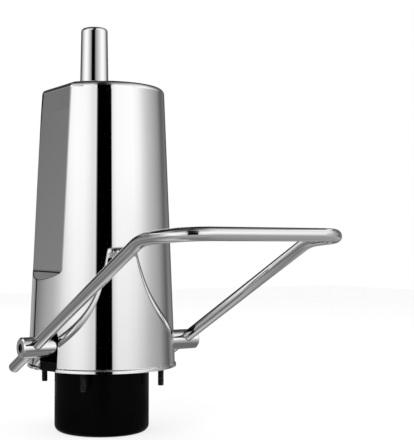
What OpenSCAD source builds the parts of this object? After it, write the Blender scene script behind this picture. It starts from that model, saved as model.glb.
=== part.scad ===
// Barber chair hydraulic pump.
// Millimetres, +Z up. The origin is the centre of the mounting face, the flange's
// underside that sits on the chair's base. X runs along the pedal shaft, and the
// pedal reaches out towards -Y. Below the mounting face hangs the oil tank.

/* [Cover] */
// Height of the cover above the mounting face
cover_h = 322; // [300:1:360]
// Outer radius of the cover at its foot
cover_foot_r = 85.4; // [84:0.1:90]
// Outer radius of the cover at its top
cover_top_r = 72; // [68:0.1:78]
// Thickness of the cover's sheet
cover_wall = 1.5; // [1:0.1:2]
// Radius of the cover's rounded top edge
cover_edge_r = 6.5; // [4:0.5:9]
// Height of the rolled bead round the cover's foot
bead_h = 4; // [3:0.5:6]
// How far the bead stands out of the cover
bead_out = 1.4; // [0.8:0.1:2]
// Half the width of each pressed flat
flat_half_w = 38.3; // [30:0.1:42]
// Height at which the flats end in a ledge
flat_end_z = 109.7; // [90:0.1:140]
// Height of the sloping ledge under each flat
ledge_drop = 9.5; // [6:0.5:14]
// Gap between the shaft and the sides of its slots in the cover
slot_gap = 1.8; // [1:0.1:3]
// How far above the shaft the slots' round tops are centred
slot_rise = 8.8; // [4:0.1:14]

/* [Tank] */
// Depth of the oil tank below the mounting face
tank_depth = 75.3; // [74:0.1:90]
// Thickness of the tank's wall
tank_wall = 3; // [2:0.5:3.5]
// Radius of the tank's rounded bottom edge
tank_edge_r = 7; // [4:0.5:10]
// Thickness of the gasket between the tank and the flange
gasket_t = 1; // [0.5:0.1:2]

/* [Mounting] */
// Distance between neighbouring studs, along X and along Y
stud_spacing = 100; // [96:1:104]
// Radius of the studs below the mounting face, the mean radius of their thread
stud_r = 3.6; // [3:0.1:4.5]
// Length of the studs below the mounting face
stud_reach = 21.5; // [15:0.5:30]
// Thickness of the mounting flange
flange_t = 10; // [9:0.5:11]
// Gap all round between the flange and the inside of the cover
cover_fit = 0.3; // [0.2:0.1:1]

/* [Ram] */
// Distance of the ram behind the middle of the pump
ram_y = 21.3; // [20:0.1:22]
// Radius of the ram
ram_r = 17; // [16:0.1:17.5]
// Radius at the small end of the ram's taper
ram_tip_r = 15.75; // [14:0.05:16]
// Height of the ram's top end above the cover when the ram is down
ram_above = 76; // [60:1:100]
// Length of the taper that carries the seat
taper_len = 73; // [50:1:90]
// Radius of the ram's rounded top edge
ram_edge_r = 4; // [2:0.5:6]
// How far the ram rises
ram_stroke = 160; // [100:5:180]
// Radius of the ram's lower journal, which turns in the piston
journal_r = 12; // [10:0.5:14]
// Length of the ram's lower journal
journal_len = 16; // [10:1:20]

/* [Cylinder] */
// Bore radius of the ram's cylinder
bore_r = 22; // [21.5:0.1:22.5]
// Thickness of the cylinder's wall
tube_wall = 4.5; // [4:0.1:4.8]
// Thickness of the casting round the cylinder's foot
seat_wall = 3.5; // [3:0.1:4]
// Height of the gland's head, from the cylinder's open end up to the cover's top
gland_head_h = 20.5; // [17:0.5:30]
// Height of the cylinder's closed end
tube_foot = -66; // [-68:0.5:-65]
// Length of the piston
piston_len = 30; // [26:1:36]
// Height of the piston's underside when the ram is down
piston_foot = -50; // [-52:0.5:-48]
// Thickness of the thrust washer under the ram's shoulder
thrust_t = 2; // [1:0.5:3]

/* [Pedal] */
// Radius of the cross shaft
shaft_r = 11.7; // [10:0.1:12]
// Length of the shaft outside the middle of each pedal leg
shaft_end = 16; // [14:0.5:22]
// Height of the shaft above the mounting face
shaft_z = 27.2; // [27:0.1:29]
// Radius of the pedal's bent rod
rod_r = 6.35; // [5:0.05:7]
// Gap between the cover's bead and each pedal leg
leg_gap = 4.85; // [3:0.05:12]
// Angle of the pedal's legs above level
leg_angle = 27.1; // [20:0.1:40]
// Straight length of each leg in front of the shaft, up to its bend
leg_len = 245.1; // [200:0.1:270]
// Angle of the pedal's tread part above level
tread_angle = 5; // [0:0.5:12]
// Straight length between a leg's bend and the front corner
tread_len = 14; // [8:0.5:60]
// Bend radius where the legs meet the tread part
leg_bend_r = 62; // [30:1:70]
// Bend radius of the pedal's front corners
corner_r = 36; // [20:1:44]
// Length of the leg ends that stand out behind the shaft
stub_len = 61.5; // [40:0.5:70]
// Angle through which the pedal is pressed
pedal_swing = 26; // [20:1:28]

/* [Pump] */
// Offset of the cam's round nose from the shaft
cam_throw = 16.4; // [14:0.1:17]
// Radius of the cam's round nose
cam_nose_r = 18.9; // [18.6:0.1:19]
// Radius of the cam's hub
cam_hub_r = 14.5; // [14:0.1:14.6]
// Width of the cam
cam_w = 16; // [10:1:18]
// Radius of the plunger
plunger_r = 9; // [8:0.1:9.2]
// Height of the bottom of the plunger's chamber
chamber_foot = -48; // [-49:0.5:-48]
// Radius of the valve balls
ball_r = 3.2; // [3:0.1:3.4]

/* [Hidden] */
$fn = 96;

// Clearance of a piece that turns or slides in its bore, on the radius
run_gap = 0.05;
// Distance kept between faces that meet as the pedal works
touch_gap = 0.3;
// Length by which a cutter passes the face that it opens
over = 1;
// Gap at each end of a spring
spring_gap = 0.1;

// Heights and places that several pieces share
tube_r = bore_r + tube_wall;
seat_r = tube_r + seat_wall;
seat_gap = 0.7;
tank_inner_r = ram_y + seat_r + seat_gap;
tank_r = tank_inner_r + tank_wall;
well_r = 13;
barrel_r = well_r + 2.5;
barrel_gap = 0.5;
plunger_y = barrel_r + barrel_gap - tank_inner_r;
cam_set = 11.7;
shaft_y = plunger_y + cam_set;
leg_x = cover_foot_r + bead_out + leg_gap + rod_r;
shaft_half = leg_x + shaft_end;
cover_deck = cover_h - cover_wall;
tube_top = cover_deck - gland_head_h;
ram_top = cover_h + ram_above;
piston_top = piston_foot + piston_len;
ram_foot = piston_top + thrust_t;
journal_foot = ram_foot - journal_len;
stud_at = stud_spacing / 2;
flange_r = cover_r(flange_t) - cover_wall - cover_fit;

// The casting's own sizes
spigot_gap = 0.1;
spigot_r = tank_inner_r - spigot_gap;
spigot_h = 8;
rim_recess = 1.5;
rim_gap = 0.3;
seat_top = 24;
seat_foot = -30;
ear_x = 58;
ear_w = 16;
ear_r = 17.5;
bush_wall = 3;
stud_boss_r = 7.5;
stud_boss_h = 6;
stud_root_r = stud_r + 0.4;
stud_cap = 3;
stud_top = flange_t + stud_boss_h - stud_cap;
stud_chamfer = 0.8;
cam_pocket_h = 7.5;
cam_side_gap = 2;
cam_front_gap = 3;
cam_back_gap = 4;
block_foot = -64.5;
block_top = -44;
block_half_w = 9;
gallery_r = 2;
port_z = -53.5;
cylinder_plug_t = 6;

// The gland's own sizes
gland_grip = 32;
gland_head_r = 30;
neck_r = 22.5;
neck_top = cover_h + 5;
neck_gap = 0.5;
bush_r = 19;
wiper_r = 20.5;
wiper_h = 5;
wiper_lip_w = 1.6;
wiper_lip_h = 1.4;
rod_seal_h = 6;
dust_gap = 0.1;
dust_rim = 8;
dust_h = 4;
dust_bevel = 2;

// The piston's grooves and the play round the ram's journal
piston_gap = 0.1;
journal_play = 0.5;
journal_chamfer = 1;
stop_tube_gap = 1.5;
seal_root_r = 18;
cup_h = 6;
cup_z = piston_foot + 3;
wear_root_r = 19.5;
wear_h = 6;
wear_z = piston_top - wear_h - 4;

// The tappet under the cam and its spring
cam_rest = pedal_swing / 2;
tappet_top = shaft_z + cam_throw * sin(cam_rest) - cam_nose_r - touch_gap;
tappet_h = 4;
tappet_r = 11;
well_foot = -14;
plunger_foot = chamber_foot + 10;
plunger_seal_w = 2;
plunger_seal_h = 3;
plunger_seal_z = plunger_foot + 6;
spring_mean_r = 10.6;
spring_wire_r = 1;

// The valves in the block under the plunger
cage_gap = 0.9;
cage_r = ball_r + cage_gap;
suction_x = -plunger_r + cage_r;
suction_seat = chamber_foot - 8;
strainer_h = 6;
strainer_r = 6;
strainer_wall = 0.8;
strainer_hole_r = 1.2;
delivery_y = (ram_y - tube_r + plunger_y + barrel_r) / 2;
delivery_seat = -57.5;
delivery_cover_t = 3;
plug_lip = 2;
plug_head_h = 4;
gallery_z = -61;
gallery_y = plunger_y + plunger_r - gallery_r - 0.5;
ball_lift = sqrt(pow(ball_r, 2) - pow(gallery_r, 2)) + 0.1;
small_wire_r = 0.35;
small_spring_r = 2.2;
ball_spring_z = sqrt(pow(ball_r + small_wire_r, 2) - pow(small_spring_r, 2)) - small_wire_r + 0.1;

// The release valve: a pin with a head under its seat, and the drain above the seat
release_x = 5.2;
pin_r = 1.5;
pin_head_r = 3;
pin_head_h = 2.5;
pin_seat = -56.5;
pin_guide_z = -52;
pin_pocket_r = pin_head_r + 0.4;
drain_r = 1.2;
drain_chamber_r = 2.3;
release_port_r = 1.4;
release_port_z = -58.5;
release_plug_t = 1.5;
cam_lift = 2 * cam_throw * sin(cam_rest);
pin_tip = plunger_foot - cam_lift - 0.6;
drain_rise = 2;

// The oil filler in the flange
filler_x = tank_r - 14;
filler_y = -2;
filler_r = 5;
filler_head_r = 7.5;
filler_head_h = 5;

// The shaft's ends and fixings
screw_r = 5;
screw_len = 6;
leg_fit = 0.1;
screw_start = leg_x + rod_r + leg_fit;
hex_af = 5;
hex_depth = 3.5;
shaft_chamfer = 1.5;
stub_chamfer = 1.2;
join_half = 0.8;
join_proud = 0.02;
circlip_r = 14;
circlip_t = 1.2;
circlip_groove = 0.8;
circlip_gap = 6;
circlip_x = ear_x + ear_w / 2 + 0.5;
cam_boss_w = 7;
cam_pin_r = 2;
cam_pin_x = (cam_w + cam_boss_w) / 2;
cam_pin_inset = 0.5;

// Outer radius of the plain taper of the cover at a height
function cover_r(z) = cover_foot_r - (cover_foot_r - cover_top_r) * z / cover_h;

// Angle at which the cover's side leans in
cover_lean = atan((cover_foot_r - cover_top_r) / cover_h);

// Distance from the axis to a flat whose edges are flat_half_w off the middle
function flat_x(z) = sqrt(pow(cover_r(z), 2) - pow(flat_half_w, 2));

// What rounds off an outer corner of a profile; lean is how far its side leans in
module corner_cutter(x, z, r, lean = 0) {
    cx = x - r * (1 / cos(lean) - tan(lean));
    translate([cx, z - r]) difference() {
        polygon([[0, 0], [r * cos(lean), r * sin(lean)], [r + over, r * sin(lean)],
            [r + over, r + over], [0, r + over]]);
        circle(r = r);
    }
}

// A tube standing on z0
module ring(r_out, r_in, z0, z1) {
    translate([0, 0, z0]) difference() {
        cylinder(r = r_out, h = z1 - z0);
        translate([0, 0, -over]) cylinder(r = r_in, h = z1 - z0 + 2 * over);
    }
}

// A rod along X from x0 to x1
module rod_x(r, x0, x1) {
    translate([x0, 0, 0]) rotate([0, 90, 0]) cylinder(r = r, h = x1 - x0);
}

// A compression spring standing on z0, its wire swept along a helix as one closed tube
module coil_spring(mean_r, wire_r, z0, z1, turns, sides = 6, steps = 14) {
    rings = turns * steps;
    rise = (z1 - z0 - 2 * wire_r) / rings;
    pts = [for (i = [0 : rings]) for (j = [0 : sides - 1])
        let (a = 360 * i / steps, b = 360 * j / sides, r = mean_r + wire_r * cos(b))
        [r * cos(a), r * sin(a), z0 + wire_r + rise * i + wire_r * sin(b)]];
    sides_faces = [for (i = [0 : rings - 1]) for (j = [0 : sides - 1])
        let (k = (j + 1) % sides, p = i * sides, q = p + sides)
        [p + j, q + j, q + k, p + k]];
    foot_cap = [[for (j = [0 : sides - 1]) j]];
    head_cap = [[for (j = [sides - 1 : -1 : 0]) rings * sides + j]];
    polyhedron(points = pts, faces = concat(sides_faces, foot_cap, head_cap), convexity = 10);
}

// The cover's round taper with its rounded top edge, drawn in by inset
module cover_taper(inset, foot) {
    top = cover_h - inset;
    rotate_extrude() difference() {
        polygon([[0, foot], [cover_r(foot) - inset, foot], [cover_r(top) - inset, top], [0, top]]);
        corner_cutter(cover_r(top) - inset, top, cover_edge_r - inset, cover_lean);
    }
}

// What the two pressed flats take off the taper, drawn in by inset
module flat_cutters(inset) {
    lean = (flat_x(cover_h) - flat_x(flat_end_z)) / (cover_h - flat_end_z);
    far = 2 * cover_foot_r;
    foot_z = flat_end_z - ledge_drop;
    ledge_w = cover_r(foot_z) - flat_x(flat_end_z);
    ledge_dz = inset * tan((90 - atan(ledge_drop / ledge_w)) / 2);
    x_end = flat_x(flat_end_z) - inset;
    z_end = flat_end_z - ledge_dz;
    rise = cover_h + over - z_end;
    for (side = [0, 180]) rotate([0, 0, side]) rotate([90, 0, 0])
        linear_extrude(height = far, center = true) polygon([
            [x_end, z_end],
            [x_end + 2 * ledge_w, z_end - 2 * ledge_drop],
            [far, z_end - 2 * ledge_drop],
            [far, z_end + rise],
            [x_end + lean * rise, z_end + rise]]);
}

// A pressed and drawn sheet cover with two flats, a rolled foot and slots for the shaft
module cover() color("silver") {
    slot_half = shaft_r + slot_gap;
    arch_z = shaft_z + slot_rise;
    bead_r = cover_foot_r + bead_out;
    difference() {
        union() {
            difference() {
                cover_taper(0, 0);
                flat_cutters(0);
            }
            rotate_extrude() polygon([[cover_foot_r - cover_wall, 0], [bead_r, 0],
                [bead_r, bead_h - bead_out], [cover_r(bead_h), bead_h],
                [cover_r(bead_h) - cover_wall, bead_h]]);
        }
        difference() {
            cover_taper(cover_wall, -over);
            flat_cutters(cover_wall);
        }
        translate([0, ram_y, cover_deck - over])
            cylinder(r = neck_r + neck_gap, h = cover_wall + 2 * over);
        for (side = [0, 180]) rotate([0, 0, side]) mirror([0, side / 180, 0]) {
            translate([cover_top_r / 2, shaft_y - slot_half, -over])
                cube([cover_foot_r, 2 * slot_half, arch_z + over]);
            translate([0, shaft_y, arch_z])
                rod_x(slot_half, cover_top_r / 2, cover_top_r / 2 + cover_foot_r);
        }
    }
}

// A cap that closes the cover's hole round the gland's neck
module dust_ring() color([0.08, 0.08, 0.08]) {
    cap_r = neck_r + dust_rim;
    translate([0, ram_y, cover_h]) rotate_extrude() polygon([[neck_r + dust_gap, 0], [cap_r, 0],
        [cap_r, dust_h - dust_bevel], [cap_r - dust_bevel, dust_h], [neck_r + dust_gap, dust_h]]);
}

// The oil tank, a drawn cup with a rounded bottom edge; its rim sits in the flange's recess
module tank() color([0.05, 0.05, 0.05]) {
    rim_z = rim_recess - gasket_t;
    depth = tank_depth + rim_z;
    translate([0, 0, rim_z]) mirror([0, 0, 1]) rotate_extrude() difference() {
        square([tank_r, depth]);
        corner_cutter(tank_r, depth, tank_edge_r);
        difference() {
            translate([0, -over]) square([tank_inner_r, depth - tank_wall + over]);
            corner_cutter(tank_inner_r, depth - tank_wall, tank_edge_r - tank_wall);
        }
    }
}

// The gasket that seals the tank's rim
module tank_gasket() color([0.12, 0.12, 0.12])
    ring(tank_r, tank_inner_r, rim_recess - gasket_t, rim_recess);

// Bearing ear of the casting, at x
module shaft_ear(x) {
    translate([x - ear_w / 2, shaft_y, shaft_z]) {
        rotate([0, 90, 0]) cylinder(r = ear_r, h = ear_w);
        translate([0, -ear_r, flange_t - over - shaft_z])
            cube([ear_w, 2 * ear_r, shaft_z - flange_t + over]);
    }
}

// Outside of the casting
module body_blank() {
    cylinder(r = flange_r, h = flange_t);
    translate([0, 0, -spigot_h]) cylinder(r = spigot_r, h = spigot_h + over);
    translate([0, ram_y, seat_foot]) cylinder(r = seat_r, h = seat_top - seat_foot);
    translate([0, plunger_y, block_foot]) cylinder(r = barrel_r, h = -block_foot);
    translate([-block_half_w, plunger_y, block_foot])
        cube([2 * block_half_w, -plunger_y, block_top - block_foot]);
    for (side = [-1, 1]) shaft_ear(side * ear_x);
    for (x = [-stud_at, stud_at], y = [-stud_at, stud_at])
        translate([x, y, 0]) cylinder(r = stud_boss_r, h = flange_t + stud_boss_h);
}

// The cast pump body: mounting flange, shaft ears, cylinder seat, barrel and valve block
module pump_body() color([0.07, 0.07, 0.07]) difference() {
    body_blank();
    // Recess of the tank's rim
    ring(tank_r + rim_gap, spigot_r, -over, rim_recess);
    // Seat of the cylinder tube
    translate([0, ram_y, block_foot - over])
        cylinder(r = tube_r, h = seat_top - block_foot + 2 * over);
    // Shaft bushes
    translate([0, shaft_y, shaft_z]) rod_x(shaft_r + bush_wall, -ear_x - ear_w, ear_x + ear_w);
    // Well of the tappet and its spring, and the barrel's bore
    translate([0, plunger_y, well_foot]) cylinder(r = well_r, h = flange_t - well_foot + over);
    translate([0, plunger_y, chamber_foot]) cylinder(r = plunger_r + run_gap, h = -chamber_foot);
    // Pocket that the cam swings into
    cam_reach = cam_throw + cam_nose_r + cam_front_gap;
    translate([-cam_w / 2 - cam_side_gap, shaft_y - cam_reach, flange_t - cam_pocket_h])
        cube([cam_w + 2 * cam_side_gap, cam_reach + cam_back_gap, cam_pocket_h + over]);
    // Studs and filler plug
    for (x = [-stud_at, stud_at], y = [-stud_at, stud_at])
        translate([x, y, -over]) cylinder(r = stud_root_r, h = stud_top + over);
    translate([filler_x, filler_y, -spigot_h - over])
        cylinder(r = filler_r, h = spigot_h + flange_t + 2 * over);
    // Suction valve: the ball's cage, and the hole up from the strainer
    translate([suction_x, plunger_y, suction_seat])
        cylinder(r = cage_r, h = chamber_foot - suction_seat + over);
    translate([suction_x, plunger_y, block_foot - over])
        cylinder(r = gallery_r, h = suction_seat - block_foot + 2 * over);
    // Release valve: the pin's guide, the drain above its seat, and the pocket of its head
    translate([release_x, plunger_y, pin_seat]) {
        cylinder(r = pin_r + run_gap, h = chamber_foot - pin_seat + over);
        cylinder(r = drain_chamber_r, h = pin_guide_z - pin_seat);
        translate([0, 0, drain_rise]) rod_x(drain_r, 0, barrel_r);
        translate([0, 0, block_foot - over - pin_seat])
            cylinder(r = pin_pocket_r, h = pin_seat - block_foot + over);
    }
    translate([release_x, plunger_y, release_port_z]) rotate([-90, 0, 0])
        cylinder(r = release_port_r, h = ram_y - plunger_y);
    // Delivery valve: the ball's cage, the way to it from the chamber, and on to the cylinder
    translate([0, delivery_y, delivery_seat]) cylinder(r = cage_r, h = block_top - delivery_seat + over);
    translate([0, delivery_y, gallery_z]) cylinder(r = gallery_r, h = delivery_seat - gallery_z + over);
    translate([0, gallery_y, gallery_z]) {
        cylinder(r = gallery_r, h = chamber_foot - gallery_z + over);
        rotate([-90, 0, 0]) cylinder(r = gallery_r, h = delivery_y - gallery_y);
    }
    translate([0, delivery_y, port_z]) rotate([-90, 0, 0]) cylinder(r = gallery_r, h = ram_y - delivery_y);
}

// The four studs that hold the pump to the chair's base, with their thicker roots in the flange
module base_studs() color([0.06, 0.06, 0.06])
    for (x = [-stud_at, stud_at], y = [-stud_at, stud_at]) translate([x, y, 0]) {
        translate([0, 0, -stud_reach]) {
            cylinder(r1 = stud_r - stud_chamfer, r2 = stud_r, h = stud_chamfer);
            translate([0, 0, stud_chamfer]) cylinder(r = stud_r, h = stud_reach - stud_chamfer);
        }
        cylinder(r = stud_root_r, h = stud_top);
    }

// The ram's cylinder, with the ports of the delivery and the release valve in its wall
module cylinder_tube() color("gray") translate([0, ram_y, 0]) difference() {
    ring(tube_r, bore_r, tube_foot, tube_top);
    translate([0, 0, port_z]) rotate([90, 0, 0]) cylinder(r = gallery_r, h = tube_r + over);
    translate([release_x, 0, release_port_z]) rotate([90, 0, 0])
        cylinder(r = release_port_r, h = tube_r + over);
}

// The plug that closes the foot of the cylinder, with the rest that the piston lands on
module cylinder_plug() color("gray") translate([0, ram_y, tube_foot]) {
    cylinder(r = bore_r, h = cylinder_plug_t);
    cylinder(r = bore_r / 2, h = piston_foot - touch_gap - tube_foot);
}

// The gland that closes the cylinder, guides the ram and carries the cover's deck
module cylinder_gland() color("gray") translate([0, ram_y, 0]) difference() {
    union() {
        translate([0, 0, tube_top - gland_grip]) cylinder(r = bore_r, h = gland_grip);
        translate([0, 0, tube_top]) cylinder(r = gland_head_r, h = cover_deck - tube_top);
        translate([0, 0, cover_deck]) cylinder(r = neck_r, h = neck_top - cover_deck);
    }
    translate([0, 0, tube_top - gland_grip - over]) {
        cylinder(r = bush_r, h = gland_grip + rod_seal_h + over);
        cylinder(r = ram_r + neck_gap, h = neck_top - tube_top + gland_grip + 2 * over);
    }
    translate([0, 0, neck_top - wiper_h]) cylinder(r = wiper_r, h = wiper_h + over);
}

// The bronze bush that the ram slides and turns in
module guide_bush() color("goldenrod") translate([0, ram_y, 0])
    ring(bush_r, ram_r + run_gap, tube_top - gland_grip, tube_top);

// The seal above the guide bush
module rod_seal() color([0.1, 0.1, 0.1]) translate([0, ram_y, 0])
    ring(bush_r, ram_r + run_gap, tube_top, tube_top + rod_seal_h);

// The wiper that keeps dirt off the ram
module wiper_seal() color([0.1, 0.1, 0.1]) translate([0, ram_y, 0]) rotate_extrude()
    polygon([[ram_r + run_gap, neck_top - wiper_h], [wiper_r, neck_top - wiper_h],
        [wiper_r, neck_top], [ram_r + wiper_lip_w, neck_top],
        [ram_r + run_gap, neck_top + wiper_lip_h]]);

// The ram: a polished spindle with a journal below and the seat's taper on top
module ram() color("silver") translate([0, ram_y, 0]) {
    rotate_extrude() difference() {
        polygon([[0, journal_foot], [journal_r - journal_chamfer, journal_foot],
            [journal_r, journal_foot + journal_chamfer], [journal_r, ram_foot], [ram_r, ram_foot],
            [ram_r, ram_top - taper_len], [ram_tip_r, ram_top], [0, ram_top]]);
        corner_cutter(ram_tip_r, ram_top, ram_edge_r, atan((ram_r - ram_tip_r) / taper_len));
    }
}

// The piston, with a socket that the ram's journal turns in
module piston() color("gray") translate([0, ram_y, 0]) difference() {
    translate([0, 0, piston_foot]) cylinder(r = bore_r - piston_gap, h = piston_len);
    translate([0, 0, journal_foot - journal_play])
        cylinder(r = journal_r + run_gap, h = journal_len + over);
    ring(bore_r + over, seal_root_r, cup_z, cup_z + cup_h);
    ring(bore_r + over, wear_root_r, wear_z, wear_z + wear_h);
}

// The cup seal round the piston
module piston_cup_seal() color([0.1, 0.1, 0.1]) translate([0, ram_y, 0])
    ring(bore_r - run_gap, seal_root_r, cup_z, cup_z + cup_h);

// The wear ring round the piston
module piston_wear_ring() color("ivory") translate([0, ram_y, 0])
    ring(bore_r - run_gap, wear_root_r, wear_z, wear_z + wear_h);

// The washer that the ram's shoulder turns on
module thrust_washer() color("goldenrod") translate([0, ram_y, 0])
    ring(ram_r, journal_r + journal_play, piston_top, ram_foot - run_gap);

// The tube round the ram that stands on the piston and stops it under the gland
module stop_tube() color("gray") translate([0, ram_y, 0])
    ring(bore_r - stop_tube_gap, ram_r + neck_gap, piston_top + run_gap,
        tube_top - gland_grip - ram_stroke - touch_gap);

// The cross shaft, drilled across for the pedal's legs and along for the set screws
module cross_shaft() color("silver") translate([0, shaft_y, shaft_z]) difference() {
    union() {
        rod_x(shaft_r, shaft_chamfer - shaft_half, shaft_half - shaft_chamfer);
        for (side = [0, 180]) rotate([0, side, 0]) translate([shaft_half - shaft_chamfer, 0, 0])
            rotate([0, 90, 0]) cylinder(r1 = shaft_r, r2 = shaft_r - shaft_chamfer, h = shaft_chamfer);
    }
    for (side = [-1, 1]) translate([side * leg_x, 0, 0]) rotate([90 - leg_angle, 0, 0])
        cylinder(r = rod_r + leg_fit, h = 4 * shaft_r, center = true);
    for (side = [0, 180]) rotate([0, side, 0]) {
        rod_x(screw_r, leg_x, shaft_half + over);
        translate([circlip_x, 0, 0]) rotate([0, 90, 0])
            ring(shaft_r + over, shaft_r - circlip_groove, 0, circlip_t);
    }
    translate([cam_pin_x, 0, 0]) cylinder(r = cam_pin_r, h = 4 * shaft_r, center = true);
}

// Half of the bent rod, for the leg at +leg_x; a sleeve a hair proud joins the leg's bend
module pedal_half() {
    bend = leg_angle - tread_angle;
    translate([leg_x, 0, 0]) rotate([-leg_angle, 0, 0]) {
        translate([0, stub_len - stub_chamfer, 0]) {
            rotate([-90, 0, 0]) cylinder(r1 = rod_r, r2 = rod_r - stub_chamfer, h = stub_chamfer);
            rotate([90, 0, 0]) cylinder(r = rod_r, h = stub_len - stub_chamfer + leg_len);
        }
        translate([0, -leg_len, -leg_bend_r]) {
            rotate([0, -90, 0]) rotate([180, 0, 0])
                rotate_extrude(angle = bend) translate([leg_bend_r, 0]) circle(r = rod_r);
            rotate([bend, 0, 0]) translate([0, 0, leg_bend_r]) {
                translate([0, -join_half / 2, 0]) rotate([90, 0, 0])
                    cylinder(r = rod_r, h = tread_len - join_half / 2);
                translate([0, join_half, 0]) rotate([90, 0, 0])
                    cylinder(r = rod_r + join_proud, h = 2 * join_half);
                translate([-corner_r, -tread_len, 0]) {
                    rotate([0, 0, -90])
                        rotate_extrude(angle = 90) translate([corner_r, 0]) circle(r = rod_r);
                    translate([corner_r - leg_x, -corner_r, 0]) rod_x(rod_r, 0, leg_x - corner_r);
                }
            }
        }
    }
}

// The pedal, one bent rod whose legs pass through the cross shaft
module pedal_bar() color("silver") translate([0, shaft_y, shaft_z]) {
    pedal_half();
    mirror([1, 0, 0]) pedal_half();
}

// The screws in the shaft's ends that lock the pedal's legs
module set_screws() color([0.1, 0.1, 0.1]) translate([0, shaft_y, shaft_z])
    for (side = [0, 180]) rotate([0, side, 0]) difference() {
        rod_x(screw_r, screw_start, screw_start + screw_len);
        translate([screw_start + screw_len - hex_depth, 0, 0]) rotate([0, 90, 0])
            cylinder(r = hex_af / sqrt(3), h = hex_depth + over, $fn = 6);
    }

// The clips that keep the shaft in its ears
module shaft_circlips() color([0.2, 0.2, 0.2]) translate([0, shaft_y, shaft_z])
    for (side = [0, 180]) rotate([0, side, 0]) translate([circlip_x, 0, 0]) rotate([0, 90, 0])
        difference() {
            ring(circlip_r, shaft_r - circlip_groove, 0, circlip_t);
            translate([0, -circlip_gap / 2, -over])
                cube([circlip_r + over, circlip_gap, circlip_t + 2 * over]);
        }

// A bush of the shaft, at x
module shaft_bush(x) translate([x, shaft_y, shaft_z]) rotate([0, 90, 0])
    ring(shaft_r + bush_wall, shaft_r + run_gap, -ear_w / 2, ear_w / 2);

module left_shaft_bush() color("goldenrod") shaft_bush(-ear_x);

module right_shaft_bush() color("goldenrod") shaft_bush(ear_x);

// Outline of the cam in its own plane: the hub, the nose and the webs tangent to both
module cam_outline() {
    tilt = asin((cam_nose_r - cam_hub_r) / cam_throw);
    circle(r = cam_hub_r);
    translate([cam_throw, 0]) circle(r = cam_nose_r);
    polygon([for (s = [-1, 1]) for (k = [0, 1])
        let (far = (s < 0) ? k : 1 - k, r = far ? cam_nose_r : cam_hub_r)
        [far * cam_throw - r * sin(tilt), s * r * cos(tilt)]]);
}

// The cam on the shaft that presses the plunger down
module pump_cam() color([0.3, 0.3, 0.32]) translate([0, shaft_y, shaft_z])
    rotate([180 - cam_rest, 0, 0]) rotate([0, 90, 0]) rotate([0, 0, 90]) difference() {
        union() {
            linear_extrude(height = cam_w, center = true) cam_outline();
            cylinder(r = cam_hub_r, h = cam_w + 2 * cam_boss_w, center = true);
        }
        cylinder(r = shaft_r, h = 3 * cam_w, center = true);
        translate([0, 0, cam_pin_x]) rotate([0, 0, cam_rest]) rotate([90, 0, 0])
            cylinder(r = cam_pin_r, h = 4 * cam_nose_r, center = true);
    }

// The spring pin that locks the cam's boss to the shaft
module cam_pin() color([0.3, 0.3, 0.3]) translate([cam_pin_x, shaft_y, shaft_z])
    cylinder(r = cam_pin_r, h = 2 * (cam_hub_r - cam_pin_inset), center = true);

// The plunger, with the flat tappet that the cam presses
module plunger() color("gray") translate([0, plunger_y, 0]) difference() {
    union() {
        translate([0, 0, plunger_foot]) cylinder(r = plunger_r, h = tappet_top - plunger_foot);
        translate([0, 0, tappet_top - tappet_h]) cylinder(r = tappet_r, h = tappet_h);
    }
    ring(plunger_r + over, plunger_r - plunger_seal_w, plunger_seal_z, plunger_seal_z + plunger_seal_h);
}

// The ring seal of the plunger
module plunger_seal() color([0.1, 0.1, 0.1]) translate([0, plunger_y, 0])
    ring(plunger_r, plunger_r - plunger_seal_w, plunger_seal_z, plunger_seal_z + plunger_seal_h);

// The spring that lifts the plunger and the pedal
module plunger_spring() color("dimgray") translate([0, plunger_y, 0])
    coil_spring(spring_mean_r, spring_wire_r, well_foot + spring_gap,
        tappet_top - tappet_h - spring_gap, 5);

// A ball on its valve seat
module valve_ball(x, y, seat) color("silver") translate([x, y, seat + ball_lift]) sphere(r = ball_r);

module suction_ball() valve_ball(suction_x, plunger_y, suction_seat);

module delivery_ball() valve_ball(0, delivery_y, delivery_seat);

// The strainer cup round the suction hole
module suction_strainer() color("gray")
    translate([suction_x, plunger_y, block_foot - strainer_h]) difference() {
        cylinder(r = strainer_r, h = strainer_h);
        translate([0, 0, strainer_wall]) cylinder(r = strainer_r - strainer_wall, h = strainer_h);
        for (a = [0 : 45 : 315]) rotate([0, 0, a]) translate([0, 0, strainer_h / 2])
            rod_x(strainer_hole_r, strainer_r - 2 * strainer_wall, strainer_r + over);
    }

// The spring that holds the delivery ball down
module delivery_spring() color("dimgray") translate([0, delivery_y, 0])
    coil_spring(small_spring_r, small_wire_r, delivery_seat + ball_lift + ball_spring_z,
        block_top - delivery_cover_t - spring_gap, 5, 6, 10);

// The plug over the delivery valve
module delivery_plug() color([0.3, 0.3, 0.3]) translate([0, delivery_y, block_top - delivery_cover_t]) {
    cylinder(r = cage_r, h = delivery_cover_t);
    translate([0, 0, delivery_cover_t]) cylinder(r = cage_r + plug_lip, h = plug_head_h, $fn = 6);
}

// The release pin, which the plunger pushes open at the bottom of its stroke
module release_pin() color("silver") translate([release_x, plunger_y, 0]) {
    translate([0, 0, pin_seat - run_gap]) cylinder(r = pin_r, h = pin_tip - pin_seat + run_gap);
    translate([0, 0, pin_seat - pin_head_h - run_gap]) cylinder(r = pin_head_r, h = pin_head_h);
}

// The spring that closes the release pin
module release_spring() color("dimgray") translate([release_x, plunger_y, 0])
    coil_spring(small_spring_r, small_wire_r, block_foot + release_plug_t + spring_gap,
        pin_seat - pin_head_h - run_gap - spring_gap, 3, 6, 10);

// The plug under the release valve, which carries its spring
module release_plug() color("gray") translate([release_x, plunger_y, block_foot])
    cylinder(r = pin_pocket_r, h = release_plug_t);

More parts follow.
